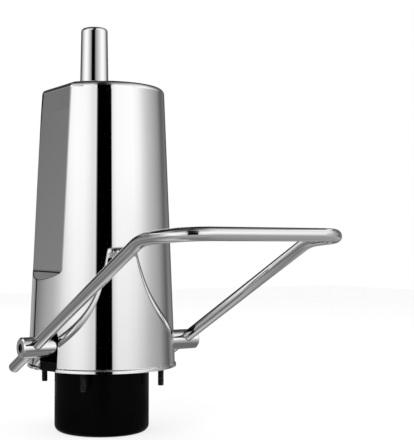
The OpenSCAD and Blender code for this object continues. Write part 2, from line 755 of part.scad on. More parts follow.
// The plug of the oil filler
module filler_plug() color([0.3, 0.3, 0.3]) translate([filler_x, filler_y, flange_t]) {
    translate([0, 0, -flange_t]) cylinder(r = filler_r, h = flange_t);
    cylinder(r = filler_head_r, h = filler_head_h, $fn = 6);
}

cover();
dust_ring();
tank();
tank_gasket();
pump_body();
base_studs();
cylinder_tube();
cylinder_plug();
cylinder_gland();
guide_bush();
rod_seal();
wiper_seal();
ram();
piston();
piston_cup_seal();
piston_wear_ring();
thrust_washer();
stop_tube();
cross_shaft();
pedal_bar();
set_screws();
shaft_circlips();
left_shaft_bush();
right_shaft_bush();
pump_cam();
cam_pin();
plunger();
plunger_seal();
plunger_spring();
suction_ball();
suction_strainer();
delivery_ball();
delivery_spring();
delivery_plug();
release_pin();
release_spring();
release_plug();
filler_plug();
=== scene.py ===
"""Barber chair hydraulic pump: materials, threads, cover skin, springs, studio and camera over the frame."""

import math

import bpy
import numpy as np
from mathutils import Matrix, Vector


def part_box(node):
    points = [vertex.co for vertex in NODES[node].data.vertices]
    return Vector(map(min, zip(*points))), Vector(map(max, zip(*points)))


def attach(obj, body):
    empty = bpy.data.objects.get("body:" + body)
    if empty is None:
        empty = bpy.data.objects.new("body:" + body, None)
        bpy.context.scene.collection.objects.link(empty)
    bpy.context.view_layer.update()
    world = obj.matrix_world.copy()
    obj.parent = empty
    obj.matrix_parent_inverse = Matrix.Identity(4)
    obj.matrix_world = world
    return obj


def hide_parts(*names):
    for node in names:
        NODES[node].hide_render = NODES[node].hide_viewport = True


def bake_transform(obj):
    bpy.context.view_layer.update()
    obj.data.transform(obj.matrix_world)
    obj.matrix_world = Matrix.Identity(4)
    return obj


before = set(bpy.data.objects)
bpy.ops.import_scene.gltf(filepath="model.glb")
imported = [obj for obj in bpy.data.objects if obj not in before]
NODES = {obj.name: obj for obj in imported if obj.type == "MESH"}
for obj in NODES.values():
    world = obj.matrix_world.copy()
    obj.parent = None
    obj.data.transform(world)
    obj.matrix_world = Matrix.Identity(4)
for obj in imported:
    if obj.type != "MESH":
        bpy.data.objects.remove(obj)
scene = bpy.context.scene
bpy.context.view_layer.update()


# Node helpers
class Tree:
    """A short way to write a node tree."""

    def __init__(self, tree):
        self.t = tree
        tree.nodes.clear()

    def put(self, socket, value):
        """Links a socket to a node's output, or sets the socket's own value."""
        if isinstance(value, bpy.types.NodeSocket):
            self.t.links.new(value, socket)
        else:
            socket.default_value = value

    def node(self, kind, inputs=None, **props):
        n = self.t.nodes.new(kind)
        for k, v in props.items():
            setattr(n, k, v)
        for k, v in (inputs or {}).items():
            self.put(n.inputs[k], v)
        return n

    def math(self, op, a, b=None, c=None, clamp=False):
        values = {i: v for i, v in enumerate((a, b, c)) if v is not None}
        return self.node("ShaderNodeMath", values, operation=op, use_clamp=clamp).outputs[0]

    def spread(self, value, lo, hi, out_lo=0.0, out_hi=1.0, curve="LINEAR"):
        values = {"Value": value, "From Min": lo, "From Max": hi, "To Min": out_lo, "To Max": out_hi}
        return self.node("ShaderNodeMapRange", values, interpolation_type=curve).outputs["Result"]

    def between(self, noise, lo, hi):
        """Spreads a noise's usual values from lo to hi."""
        return self.spread(noise, 0.3, 0.7, lo, hi)

    def ramp(self, fac, stops):
        """A grey by its stops, each a position and a value."""
        n = self.node("ShaderNodeValToRGB", {"Fac": fac})
        elements = n.color_ramp.elements
        while len(elements) > 1:
            elements.remove(elements[-1])
        elements[0].position = stops[0][0]
        for i, (place, v) in enumerate(stops):
            e = elements[0] if i == 0 else elements.new(place)
            e.color = (v, v, v, 1)
        return n.outputs["Color"]

    def mix(self, fac, a, b):
        n = self.node("ShaderNodeMix", {0: fac}, data_type="RGBA")
        for i, v in ((6, a), (7, b)):
            self.put(n.inputs[i], v if isinstance(v, bpy.types.NodeSocket) else (*v, 1))
        return n.outputs[2]

    def times(self, a, b):
        values = {0: 1.0, 6: a, 7: b}
        return self.node("ShaderNodeMix", values, data_type="RGBA", blend_type="MULTIPLY").outputs[2]

    def noise(self, vector, scale, detail, rough):
        values = {"Vector": vector, "Scale": scale, "Detail": detail, "Roughness": rough}
        return self.node("ShaderNodeTexNoise", values).outputs["Fac"]

    def rings(self, vector, squeeze, scale, detail, rough):
        """A noise squeezed along Z, as lines that a lathe or a polishing wheel leaves."""
        squeezed = self.node("ShaderNodeMapping", {"Vector": vector, "Scale": (1.0, 1.0, squeeze)})
        return self.noise(squeezed.outputs[0], scale, detail, rough)

    def bump(self, height, strength, distance, normal=None):
        values = {"Height": height, "Strength": strength, "Distance": distance}
        if normal is not None:
            values["Normal"] = normal
        return self.node("ShaderNodeBump", values).outputs["Normal"]

    def edges(self, radius):
        """1 along the edges of a solid, 0 on its faces."""
        soft = self.node("ShaderNodeBevel", {"Radius": radius}, samples=4).outputs[0]
        true = self.node("ShaderNodeNewGeometry").outputs["Normal"]
        dot = self.node("ShaderNodeVectorMath", {0: soft, 1: true}, operation="DOT_PRODUCT")
        return self.spread(self.math("SUBTRACT", 1.0, dot.outputs["Value"]), 0.02, 0.12)


def new_tree(name):
    """A material, its tree and the socket of its surface."""
    m = bpy.data.materials.new(name)
    m.use_nodes = True
    t = Tree(m.node_tree)
    return m, t, t.node("ShaderNodeOutputMaterial").inputs["Surface"]


def new_material(name):
    m, t, surface = new_tree(name)
    p = t.node("ShaderNodeBsdfPrincipled")
    t.put(surface, p.outputs[0])
    return m, t, p, t.node("ShaderNodeTexCoord").outputs["Object"]


def wire(t, p, **sockets):
    """Sets the named sockets of a material's shader."""
    for k, v in sockets.items():
        t.put(p.inputs[k.replace("_", " ")], v)


# Materials
def chrome(name):
    """Polished chrome plate: faint polishing lines, hazy patches, edges slightly worn."""
    m, t, p, where = new_material(name)
    patches = t.noise(where, 22.0, 4.0, 0.6)
    lines = t.rings(where, 14.0, 160.0, 3.0, 0.6)
    worn = t.math("MULTIPLY", t.edges(0.0009), t.noise(where, 260.0, 4.0, 0.7))
    rough = t.between(patches, 0.012, 0.035)
    rough = t.math("ADD", rough, t.math("MULTIPLY", lines, 0.02))
    rough = t.math("ADD", rough, t.math("MULTIPLY", worn, 0.18))
    tone = t.mix(patches, (0.955, 0.957, 0.96), (0.985, 0.985, 0.982))
    tone = t.mix(t.math("MULTIPLY", worn, 0.5), tone, (0.70, 0.70, 0.69))
    normal = t.bump(lines, 0.03, 0.00002)
    wire(t, p, Base_Color=tone, Metallic=1.0, Roughness=rough, Normal=normal)
    return m


def black_paint(name):
    """Satin black enamel: orange peel, uneven gloss, edges rubbed to a lighter grey."""
    m, t, p, where = new_material(name)
    peel = t.noise(where, 900.0, 2.0, 0.5)
    drift = t.noise(where, 35.0, 4.0, 0.6)
    worn = t.math("MULTIPLY", t.edges(0.0012), t.noise(where, 220.0, 4.0, 0.7))
    tone = t.mix(drift, (0.0008, 0.0008, 0.0009), (0.0020, 0.0020, 0.0021))
    tone = t.mix(t.math("MULTIPLY", worn, 0.5, clamp=True), tone, (0.03, 0.03, 0.031))
    rough = t.between(drift, 0.22, 0.32)
    normal = t.bump(peel, 0.12, 0.00012)
    wire(t, p, Base_Color=tone, Roughness=rough, Normal=normal, Specular_IOR_Level=0.035)
    return m


def black_casting(name):
    """Sand-cast iron under thin black paint."""
    m, t, p, where = new_material(name)
    grit = t.noise(where, 620.0, 6.0, 0.65)
    lumps = t.noise(where, 90.0, 4.0, 0.6)
    worn = t.math("MULTIPLY", t.edges(0.0015), lumps)
    tone = t.mix(lumps, (0.0012, 0.0012, 0.0013), (0.0042, 0.0042, 0.0043))
    tone = t.mix(t.math("MULTIPLY", worn, 0.8, clamp=True), tone, (0.05, 0.049, 0.047))
    rough = t.between(grit, 0.48, 0.72)
    low = t.bump(lumps, 0.25, 0.0006)
    normal = t.bump(grit, 0.35, 0.00025, low)
    wire(t, p, Base_Color=tone, Roughness=rough, Normal=normal, Specular_IOR_Level=0.12)
    return m


def black_steel(name):
    """Oiled black oxide on turned steel."""
    m, t, p, where = new_material(name)
    lathe = t.rings(where, 22.0, 240.0, 3.0, 0.6)
    blotch = t.noise(where, 130.0, 4.0, 0.6)
    worn = t.math("MULTIPLY", t.edges(0.0006), t.noise(where, 500.0, 4.0, 0.7))
    tone = t.mix(blotch, (0.010, 0.010, 0.011), (0.028, 0.027, 0.027))
    tone = t.mix(t.math("MULTIPLY", worn, 0.9, clamp=True), tone, (0.28, 0.275, 0.27))
    rough = t.between(blotch, 0.32, 0.5)
    normal = t.bump(lathe, 0.12, 0.00005)
    wire(t, p, Base_Color=tone, Metallic=0.75, Roughness=rough, Normal=normal)
    return m


def bright_steel(name):
    """Ground steel with lathe lines round Z and an oil film's tone."""
    m, t, p, where = new_material(name)
    lathe = t.rings(where, 40.0, 120.0, 4.0, 0.65)
    blotch = t.noise(where, 60.0, 4.0, 0.6)
    tone = t.mix(blotch, (0.50, 0.49, 0.475), (0.62, 0.615, 0.60))
    tone = t.mix(t.edges(0.0006), tone, (0.74, 0.735, 0.73))
    rough = t.between(lathe, 0.16, 0.34)
    normal = t.bump(lathe, 0.12, 0.00006)
    wire(t, p, Base_Color=tone, Metallic=1.0, Roughness=rough, Normal=normal)
    return m


def bronze(name):
    """Oil-filled sintered bronze with fine pores."""
    m, t, p, where = new_material(name)
    pores = t.node("ShaderNodeTexVoronoi", {"Vector": where, "Scale": 2400.0}).outputs["Distance"]
    blotch = t.noise(where, 110.0, 5.0, 0.6)
    tone = t.mix(blotch, (0.42, 0.235, 0.085), (0.60, 0.37, 0.15))
    tone = t.mix(t.ramp(pores, ((0.0, 1.0), (0.22, 0.0))), tone, (0.12, 0.07, 0.03))
    rough = t.between(blotch, 0.30, 0.46)
    normal = t.bump(pores, 0.25, 0.00006)
    wire(t, p, Base_Color=tone, Metallic=0.9, Roughness=rough, Normal=normal)
    return m


def rubber(name):
    """Moulded black nitrile with a dusty bloom."""
    m, t, p, where = new_material(name)
    grain = t.noise(where, 1500.0, 4.0, 0.6)
    bloom = t.noise(where, 70.0, 4.0, 0.6)
    tone = t.mix(bloom, (0.010, 0.010, 0.0105), (0.026, 0.026, 0.027))
    rough = t.between(bloom, 0.50, 0.70)
    normal = t.bump(grain, 0.25, 0.00008)
    wire(t, p, Base_Color=tone, Roughness=rough, Normal=normal, Sheen_Weight=0.08)
    return m


def plastic(name):
    """Turned acetal, an off-white."""
    m, t, p, where = new_material(name)
    lines = t.rings(where, 30.0, 300.0, 3.0, 0.6)
    tint = t.noise(where, 80.0, 3.0, 0.5)
    tone = t.mix(tint, (0.66, 0.64, 0.58), (0.76, 0.745, 0.70))
    rough = t.between(lines, 0.30, 0.44)
    normal = t.bump(lines, 0.15, 0.00004)
    wire(t, p, Base_Color=tone, Roughness=rough, Normal=normal)
    return m


LOOKS = {
    "chrome": chrome("chrome_plate"),
    "black_paint": black_paint("black_enamel"),
    "black_casting": black_casting("painted_casting"),
    "black_steel": black_steel("black_oxide"),
    "bright_steel": bright_steel("ground_steel"),
    "bronze": bronze("sintered_bronze"),
    "black_rubber": rubber("nitrile"),
    "wear_plastic": plastic("acetal"),
}


def dress(obj, look):
    if obj.material_slots:
        for s in obj.material_slots:
            s.material = look
    else:
        obj.data.materials.append(look)


SLOTS = {}
for name, o in NODES.items():
    SLOTS[name] = o.data.materials[0].name.split(".")[0] if o.data.materials else "bright_steel"
    dress(o, LOOKS[SLOTS[name]])


# Meshes
def mesh_object(name, verts, faces, look, smooth=True):
    me = bpy.data.meshes.new(name)
    me.from_pydata(verts, [], faces)
    me.update()
    for q in me.polygons:
        q.use_smooth = smooth
    me.materials.append(look)
    o = bpy.data.objects.new(name, me)
    scene.collection.objects.link(o)
    return o


def circle(x, y, z, r, sides):
    """The points of a level circle."""
    turns = [2 * math.pi * i / sides for i in range(sides)]
    return [(x + r * math.cos(a), y + r * math.sin(a), z) for a in turns]


def tube_faces(rings, sides):
    """Four-sided faces between each closed ring of points and the next."""
    faces = []
    for k in range(rings - 1):
        for i in range(sides):
            j = (i + 1) % sides
            faces.append((k * sides + i, k * sides + j, (k + 1) * sides + j, (k + 1) * sides + i))
    return faces


# Threaded studs: sizes in metres, the crest and the flank as shares of half a pitch
STUD_SQUARE = 0.1
STUD_R, THREAD_PITCH, THREAD_DEPTH, STUD_CHAMFER = 0.0036, 0.00125, 0.00062, 0.0008
CREST, FLANK = 0.12, 0.76
STUD_SIDES, RINGS_PER_PITCH = 40, 8


def threaded_rod(x, y, z_lo, z_hi):
    """A rod with a helical V thread from z_lo to z_hi, closed at both ends."""
    steps = int((z_hi - z_lo) / THREAD_PITCH * RINGS_PER_PITCH)
    core = STUD_R - STUD_CHAMFER
    verts = []
    for k in range(steps + 1):
        z = z_lo + (z_hi - z_lo) * k / steps
        end = min(core + max(0.0, z - z_lo), core + max(0.0, z_hi - z))
        for i in range(STUD_SIDES):
            a = 2 * math.pi * i / STUD_SIDES
            phase = ((z - z_lo) / THREAD_PITCH - i / STUD_SIDES) % 1.0
            cut = abs(phase - 0.5) * 2
            r = min(STUD_R - THREAD_DEPTH * max(0.0, min(1.0, (cut - CREST) / FLANK)), end)
            verts.append((x + r * math.cos(a), y + r * math.sin(a), z))
    faces = tube_faces(steps + 1, STUD_SIDES)
    verts += [(x, y, z_lo), (x, y, z_hi)]
    foot, tip, last = len(verts) - 2, len(verts) - 1, steps * STUD_SIDES
    for i in range(STUD_SIDES):
        j = (i + 1) % STUD_SIDES
        faces.append((foot, j, i))
        faces.append((tip, last + i, last + j))
    return verts, faces


def threaded_studs():
    lo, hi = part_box("base_studs")
    verts, faces = [], []
    for x in (-STUD_SQUARE / 2, STUD_SQUARE / 2):
        for y in (-STUD_SQUARE / 2, STUD_SQUARE / 2):
            v, f = threaded_rod(x, y, lo.z, hi.z)
            faces += [tuple(i + len(verts) for i in q) for q in f]
            verts += v
    studs = mesh_object("threaded_studs", verts, faces, LOOKS["black_steel"])
    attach(studs, "housing")
    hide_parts("base_studs")


threaded_studs()

# Cover, in millimetres: its height and its widest radius from the frame, its other sizes as in part.scad
COVER_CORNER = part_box("cover")[1]
COVER_H, BEAD_R = round(COVER_CORNER.z * 1000, 3), round(COVER_CORNER.y * 1000, 3)
FOOT_R, TOP_R, SHEET, EDGE_R = 85.4, 72.0, 1.5, 6.5
FLAT_HALF, FLAT_END, LEDGE_DROP = 38.3, 109.7, 9.5
BEAD_H, BEAD_TILT = 4.0, math.radians(5)
SLOT_Y, SLOT_HALF, ARCH_Z = -24.3, 13.5, 36.0
HOLE_Y, HOLE_R = 21.3, 23.0
# Radii of its rounded edges: a flat's upright edges by height, its top edge, the bend above the ledge,
# and the bead's brow and the hollow where it meets the wall
FRONT_EDGE = ((110, 250, 300), (0.5, 0.7, 0.9))
BACK_EDGE = ((110, 250, 296, 314), (0.5, 1.1, 2.6, 3.8))
FLAT_TOP_R, LEDGE_BEND_R, BROW_R, BEAD_HOLLOW_R = 7.0, 1.6, 0.35, 0.15
# The cover's radius at the slots, and the azimuths of their middles in degrees
R_AT_SLOTS = 84
LEFT_SLOT = 180 + math.degrees(math.asin(-SLOT_Y / R_AT_SLOTS))
RIGHT_SLOT = 540 - LEFT_SLOT
# The skin is found along rays from the axis, by halving between two distances: level rays up to FAN_Z,
# and from there rays that rise by up to FAN_RISE degrees. HOLE_RINGS rings join the last of them to the hole
FAN_Z, FAN_RISE, FAN_ROWS = 290.0, 31.5, 58
NEAR, FAR, HALVINGS, NORMAL_STEP = 30.0, 95.0, 40, 0.01
HOLE_RINGS = 5


def round_and(a, b, r):
    """Where two solids meet in a corner, rounded off."""
    return np.minimum(-r, np.maximum(a, b)) + np.hypot(np.maximum(r + a, 0), np.maximum(r + b, 0))


def round_or(a, b, r):
    """Where two solids join in an inner corner, filled out."""
    return np.maximum(r, np.minimum(a, b)) - np.hypot(np.maximum(r - a, 0), np.maximum(r - b, 0))


def cone_field(r, z):
    """The tapered shell with its round top edge, before the flats are pressed."""
    taper = (FOOT_R - TOP_R) / COVER_H
    lean = math.atan(taper)
    body = np.maximum((r - FOOT_R + taper * z) * math.cos(lean), z - COVER_H)
    up = z - (COVER_H - EDGE_R)
    out = r - (FOOT_R - taper * (COVER_H - EDGE_R) - EDGE_R / math.cos(lean))
    arc = (up * math.cos(lean) - out * math.sin(lean) > 0) & (out > 0)
    return np.where(arc, np.hypot(up, out) - EDGE_R, body)


def press_field(x, z):
    """What a press leaves of a side: a leaning flat with a sloping ledge below it."""
    taper = (FOOT_R - TOP_R) / COVER_H
    x_end = math.sqrt((FOOT_R - taper * FLAT_END) ** 2 - FLAT_HALF ** 2)
    x_top = math.sqrt(TOP_R ** 2 - FLAT_HALF ** 2)
    slope = (x_end - x_top) / (COVER_H - FLAT_END)
    flat = (x - x_end + slope * (z - FLAT_END)) * math.cos(math.atan(slope))
    ledge_w = FOOT_R - taper * (FLAT_END - LEDGE_DROP) - x_end
    ledge = ((x - x_end) * LEDGE_DROP + (z - FLAT_END) * ledge_w) / math.hypot(LEDGE_DROP, ledge_w)
    return round_or(flat, ledge, LEDGE_BEND_R)


def cover_field(p, bead):
    """How far outside the cover's outer skin a point lies: the taper, its two pressed flats and the bead."""
    x, y, z = np.abs(p[..., 0]), p[..., 1], p[..., 2]
    r = np.hypot(x, y)
    pressed = press_field(x, z)
    upright = np.where(y > 0, np.interp(z, *BACK_EDGE), np.interp(z, *FRONT_EDGE))
    field = round_and(cone_field(r, z), pressed, upright)
    field = np.maximum(field, round_and(pressed, z - COVER_H, FLAT_TOP_R))
    if bead:
        face = (r - BEAD_R) * math.cos(BEAD_TILT) + z * math.sin(BEAD_TILT)
        brow = (r - FOOT_R + z - BEAD_H) / math.sqrt(2)
        field = round_or(field, round_and(face, brow, BROW_R), BEAD_HOLLOW_R)
    return field


def skin(rows, thetas, level, bead):
    """Points and normals of the cover's skin at a depth, along rays given by height, rise and azimuth."""
    start = np.zeros((len(rows), thetas.shape[1], 3))
    way = np.zeros_like(start)
    for i, (z, rise) in enumerate(rows):
        start[i, :, 2] = z
        way[i, :, 0] = np.cos(thetas[i]) * math.cos(rise)
        way[i, :, 1] = np.sin(thetas[i]) * math.cos(rise)
        way[i, :, 2] = math.sin(rise)
    near, far = np.full(thetas.shape, NEAR), np.full(thetas.shape, FAR)
    for _ in range(HALVINGS):
        mid = (near + far) / 2
        inside = cover_field(start + way * mid[..., None], bead) < level
        near, far = np.where(inside, mid, near), np.where(inside, far, mid)
    p = start + way * near[..., None]
    slopes = []
    for axis in NORMAL_STEP * np.eye(3):
        slopes.append(cover_field(p + axis, bead) - cover_field(p - axis, bead))
    grad = np.stack(slopes, axis=-1)
    return p, grad / np.linalg.norm(grad, axis=-1, keepdims=True)


def slot_half(z):
    """Half a slot's width at a height."""
    if z <= ARCH_Z:
        return SLOT_HALF
    return math.sqrt(max(0.0, SLOT_HALF ** 2 - (z - ARCH_Z) ** 2))


def azimuths(lo, hi):
    """Azimuths from lo to hi, close together where a flat's upright edges run."""
    across, edge_end = 25, 34.5
    on_flat, on_edge, on_round, shortest = 1.6, 0.6, 2.8, 0.3
    out, a = [lo], lo
    while a < hi:
        off = abs((a + 90) % 180 - 90)
        if off <= across:
            a += on_flat
        else:
            a += on_edge if off < edge_end else on_round
        out.append(a)
    kept = out[:-1] if hi - out[-2] > shortest else out[:-2]
    return np.array(kept + [hi])


def beside_slots(base, z, radius):
    """Moves the azimuths next to a slot so that the first and last lie on its edges at this height."""
    reach = 24.0
    theta = base.copy()
    half = slot_half(z)
    for middle, side in ((base[0], 1), (base[-1], -1)):
        if abs(middle - RIGHT_SLOT) < 1:
            edge = 360 + math.degrees(math.asin((SLOT_Y + side * half) / radius))
        else:
            turns = 360 if middle > 360 else 0
            edge = turns + 180 - math.degrees(math.asin((SLOT_Y - side * half) / radius))
        near = np.abs(base - middle) < reach
        far = middle + side * reach
        theta[near] = edge + (far - edge) * np.abs(base[near] - middle) / reach
    return theta


class Shell:
    """Collects faces with a normal at each corner, and joins equal points."""

    def __init__(self):
        self.index, self.verts, self.faces, self.normals = {}, [], [], []

    def point(self, p):
        key = tuple(round(float(c) * 1000) for c in p)
        if key not in self.index:
            self.index[key] = len(self.verts)
            self.verts.append(tuple(float(c) / 1000 for c in p))
        return self.index[key]

    def face(self, points, normals):
        ids, ps, ns = [], [], []
        for p, n in zip(points, normals):
            i = self.point(p)
            if i not in ids:
                ids.append(i)
                ps.append(p)
                ns.append(n)
        if len(ids) < 3:
            return
        out = np.cross(ps[1] - ps[0], ps[2] - ps[0]) + np.cross(ps[2] - ps[0], ps[-1] - ps[0])
        if float(np.dot(out, sum(ns))) < 0:
            ids, ns = ids[::-1], ns[::-1]
        self.faces.append(ids)
        self.normals += [tuple(float(c) for c in n) for n in ns]

    def grid(self, p, n):
        for i in range(p.shape[0] - 1):
            for j in range(p.shape[1] - 1):
                at = ((i, j), (i, j + 1), (i + 1, j + 1), (i + 1, j))
                self.face([p[k] for k in at], [n[k] for k in at])


def skin_rows():
    """Height and rise of the rays: those beside the slots, then those above them."""
    bead = [(z, 0.0) for z in np.arange(0, 4.6, 0.35)]
    legs = [(z, 0.0) for z in (6, 9, 14, 20, 26, 31)]
    arch = [(ARCH_Z + SLOT_HALF * math.sin(a), 0.0) for a in np.linspace(0, math.pi / 2, 16)]
    wall = [(z, 0.0) for z in (52, 60, 74, 88, 96)]
    ledge = [(z, 0.0) for z in np.arange(98.5, 113, 0.55)]
    flats = [(z, 0.0) for z in (116, 124, 140, 165, 195, 225, 250, 268, 280, FAN_Z)]
    fan = [(FAN_Z, math.radians(a)) for a in np.linspace(0.9, FAN_RISE, FAN_ROWS)]
    return bead + legs + arch, wall + ledge + flats + fan


def cover_side(shell, base, low, high, outer):
    """One side's wall between the slots, with its share of the top; gives its points and the hole's."""
    level, face_out = (0.0, 1) if outer else (-SHEET, -1)
    rows = low + (high if outer else high[::3] + high[-1:])
    thetas = np.radians(np.tile(base, (len(rows), 1)))
    first = skin(low, thetas[: len(low)], level, outer)[0][:, 0, :2]
    radii = np.hypot(*np.moveaxis(first, -1, 0))
    for i, (z, _) in enumerate(low):
        thetas[i] = np.radians(beside_slots(base, z, float(radii[i])))
    p, n = skin(rows, thetas, level, outer)
    shell.grid(p, n * face_out)
    flat_n = np.zeros((HOLE_RINGS, p.shape[1], 3))
    flat_n[..., 2] = face_out
    rim = thetas[-1]
    hole = np.stack([HOLE_R * np.cos(rim), HOLE_Y + HOLE_R * np.sin(rim), p[-1, :, 2]], axis=-1)
    share = np.linspace(0, 1, HOLE_RINGS)[:, None, None]
    shell.grid(p[-1][None] * (1 - share) + hole[None] * share, flat_n)
    return p, hole


def slot_edge(shell, a, b, low):
    """The sheet's cut edge round half a slot."""
    n = np.zeros_like(a)
    for i, (z, _) in enumerate(low):
        n[i, 1] = SLOT_Y - a[i, 1] if i < len(low) - 1 else 0.0
        n[i, 2] = min(0.0, ARCH_Z - z)
    n /= np.linalg.norm(n, axis=-1, keepdims=True)
    shell.grid(np.stack([a, b]), np.stack([n, n]))


def cover_shell():
    low, high = skin_rows()
    shell = Shell()
    edges = []
    for base in (azimuths(LEFT_SLOT, RIGHT_SLOT), azimuths(RIGHT_SLOT, 360 + LEFT_SLOT)):
        outer, top = cover_side(shell, base, low, high, True)
        inner, under = cover_side(shell, base, low, high, False)
        down = np.zeros((2, outer.shape[1], 3))
        down[..., 2] = -1
        shell.grid(np.stack([outer[0], inner[0]]), down)
        inward = np.array([0.0, HOLE_Y, 0.0]) - top
        inward[:, 2] = 0
        inward /= HOLE_R
        shell.grid(np.stack([top, under]), np.stack([inward, inward]))
        edges += [(outer[: len(low), k], inner[: len(low), k]) for k in (0, -1)]
    for a, b in edges:
        slot_edge(shell, a, b, low)
    o = mesh_object("cover_shell", shell.verts, shell.faces, LOOKS[SLOTS["cover"]])
    o.data.normals_split_custom_set(shell.normals)
    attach(o, "housing")
    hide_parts("cover")


cover_shell()


# Springs
def coil(node, wire_r, turns, sides=12, steps=36):
    """Round wire with closed, ground ends, squeezed between the two bodies that it stands between."""
    lo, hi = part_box(node)
    x, y = (lo.x + hi.x) / 2, (lo.y + hi.y) / 2
    mean = (hi.x - lo.x) / 2 - wire_r
    seat, closed = wire_r * 0.6, 0.9
    z0, z1 = lo.z + seat, hi.z - seat
    count = int(turns * steps)
    verts, faces = [], []
    for k in range(count + 1):
        turn = turns * k / count
        if turn < closed:
            z = z0 + seat * turn / closed
        elif turn > turns - closed:
            z = z1 - seat * (turns - turn) / closed
        else:
            z = z0 + seat + (z1 - z0 - 2 * seat) * (turn - closed) / (turns - 2 * closed)
        a = 2 * math.pi * turn
        for i in range(sides):
            b = 2 * math.pi * i / sides
            r = mean + wire_r * math.cos(b)
            up = min(max(z + wire_r * math.sin(b), lo.z), hi.z)
            verts.append((x + r * math.cos(a), y + r * math.sin(a), up))
    faces = [q[::-1] for q in tube_faces(count + 1, sides)]
    faces.append(tuple(range(sides)))
    faces.append(tuple(range(count * sides + sides - 1, count * sides - 1, -1)))
    o = mesh_object(node + "_wire", verts, faces, LOOKS[SLOTS[node]])
    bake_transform(o)
    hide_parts(node)


coil("plunger_spring", 0.001, 5.5)
coil("delivery_spring", 0.00035, 5.5)
coil("release_spring", 0.00035, 4.0)


# Floor
FLOOR_HALF, FLOOR_GREY, FLOOR_GLOW = 3.0, 0.96, 0.75


def floor():
    """A pale floor that glows a little for the camera, and that the chrome doesn't mirror."""
    m, t, surface = new_tree("floor")
    body = t.node("ShaderNodeBsdfDiffuse", {"Color": (FLOOR_GREY, FLOOR_GREY, FLOOR_GREY, 1)})
    glow = t.node("ShaderNodeEmission", {"Color": (1, 1, 1, 1), "Strength": 1.0})
    part = t.math("MULTIPLY", t.node("ShaderNodeLightPath").outputs["Is Camera Ray"], FLOOR_GLOW)
    both = t.node("ShaderNodeMixShader", {0: part, 1: body.outputs[0], 2: glow.outputs[0]})
    t.put(surface, both.outputs[0])
    m.cycles.emission_sampling = "NONE"
    half, z = FLOOR_HALF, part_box("tank")[0].z
    verts = [(-half, -half, z), (half, -half, z), (half, half, z), (-half, half, z)]
    o = mesh_object("floor", verts, [(0, 1, 2, 3)], m, smooth=False)
    o.visible_glossy = False


floor()

# Studio: azimuths count in degrees from the camera's side, positive to its right
VIEW_AZIMUTH = math.radians(31.26)


def lin(v):
    """Linear light of an sRGB value from 0 to 255."""
    c = v / 255
    return c / 12.92 if c <= 0.04045 else ((c + 0.055) / 1.055) ** 2.4


# The room's band round the horizon, in sRGB values: as the cover's upper part mirrors it, at BAND_HIGH
BAND_LOW, BAND_HIGH = -6.8, 9.0
ROUND = (
    (-180, 140), (-150, 168), (-140, 145), (-133, 122), (-126, 113), (-112, 140), (-100, 160),
    (-83, 178), (-71, 206), (-63, 232), (-55, 251), (-45, 256), (-28, 253), (-20, 243),
    (-14, 229), (-7.3, 228), (-6.9, 0), (18.4, 0), (19.0, 225), (22, 240), (27, 253),
    (58, 257), (70, 246), (80, 222), (90, 199), (105, 174), (120, 148), (133, 100),
    (142, 96), (153, 118), (166, 62), (180, 58),
)
# and as its foot mirrors it, at BAND_LOW
ROUND_LOW = (
    (-180, 140), (-150, 168), (-140, 145), (-133, 122), (-126, 130), (-112, 148), (-100, 162),
    (-83, 178), (-71, 198), (-63, 212), (-55, 214), (-40, 232), (-28, 228), (-19, 214),
    (-11, 196), (-7.2, 210), (-6.8, 0), (18.6, 0), (19.4, 175), (23, 207), (29, 223),
    (42, 222), (50, 214), (60, 200), (68, 185), (82, 169), (95, 162), (108, 152),
    (120, 112), (131, 84), (144, 140), (180, 60),
)
# Shares of the band's light: a dark hood on the far left, which starts between the two angles of HOOD_EL,
# and a dark upright strip at the hood's side
HOOD_EL = (6.9, 8.5)
HOOD = ((-180, 0.03), (-140, 0.03), (-131.5, 0.05), (-128.2, 1), (180, 1))
STRIP = ((-136.5, 1), (-134.5, 0.02), (-130.8, 0.02), (-129, 1))
# The ground below the band, in sRGB values by elevation: in front and on the right, then on the left and
# behind, where LIFT makes it lighter. It takes over between the two angles of GROUND_EL
GROUND_FRONT = ((-90, 112), (-70, 120), (-55, 132), (-44, 152), (-32, 150), (-20, 156), (-8, 190))
GROUND_BACK = ((-90, 170), (-60, 186), (-45, 160), (-27, 126), (-10, 108))
BACK_SHARE = ((-60, 1), (-30, 0), (148, 0), (162, 1))
LIFT = ((-180, 1.75), (-146, 1.6), (-124, 1), (160, 1), (170, 1.6), (180, 1.75))
GROUND_EL = (-7.5, -15.0)
# The light above the band in the same way: on the left, then on the right. It takes over within SKY_EL
SKY_LEFT = ((20, 250), (30, 206), (42, 180), (51, 153), (62, 116), (75, 84), (90, 70))
SKY_RIGHT = ((20, 251), (30, 244), (42, 224), (51, 206), (58, 187), (66, 150), (75, 108), (90, 70))
RIGHT_SHARE = ((-60, 0), (-10, 0.2), (48, 0.62), (80, 1), (150, 1), (170, 0))
SKY_EL = (17.0, 34.0)
# How much of the upper light comes from each side: a dark boom in front, a dark room behind.
# Overhead, between the two angles of UPPER_EL, this fades out
UPPER_EL = (72, 88)
UPPER = (
    (-180, 0.3), (-160, 0.2), (-146, 0.05), (-110, 0.04), (-95, 0.3), (-78, 1), (-16, 1), (-8, 0.03),
    (8, 0.03), (14, 0.12), (20, 0.14), (26, 1), (103, 1), (121, 0.45), (140, 0.2), (158, 0.06), (180, 0.05),
)
# Strength of the even light on whatever isn't a mirror
SOFT_LIGHT = 0.85


def around(t, turn, table, read=float):
    return t.ramp(turn, [((a + 180) / 360, read(v)) for a, v in table])


def by_height(t, el, lo, table):
    """A table by elevation, over the 90 degrees from lo up."""
    return t.ramp(t.spread(el, lo, lo + 90), [((e - lo) / 90, lin(v)) for e, v in table])


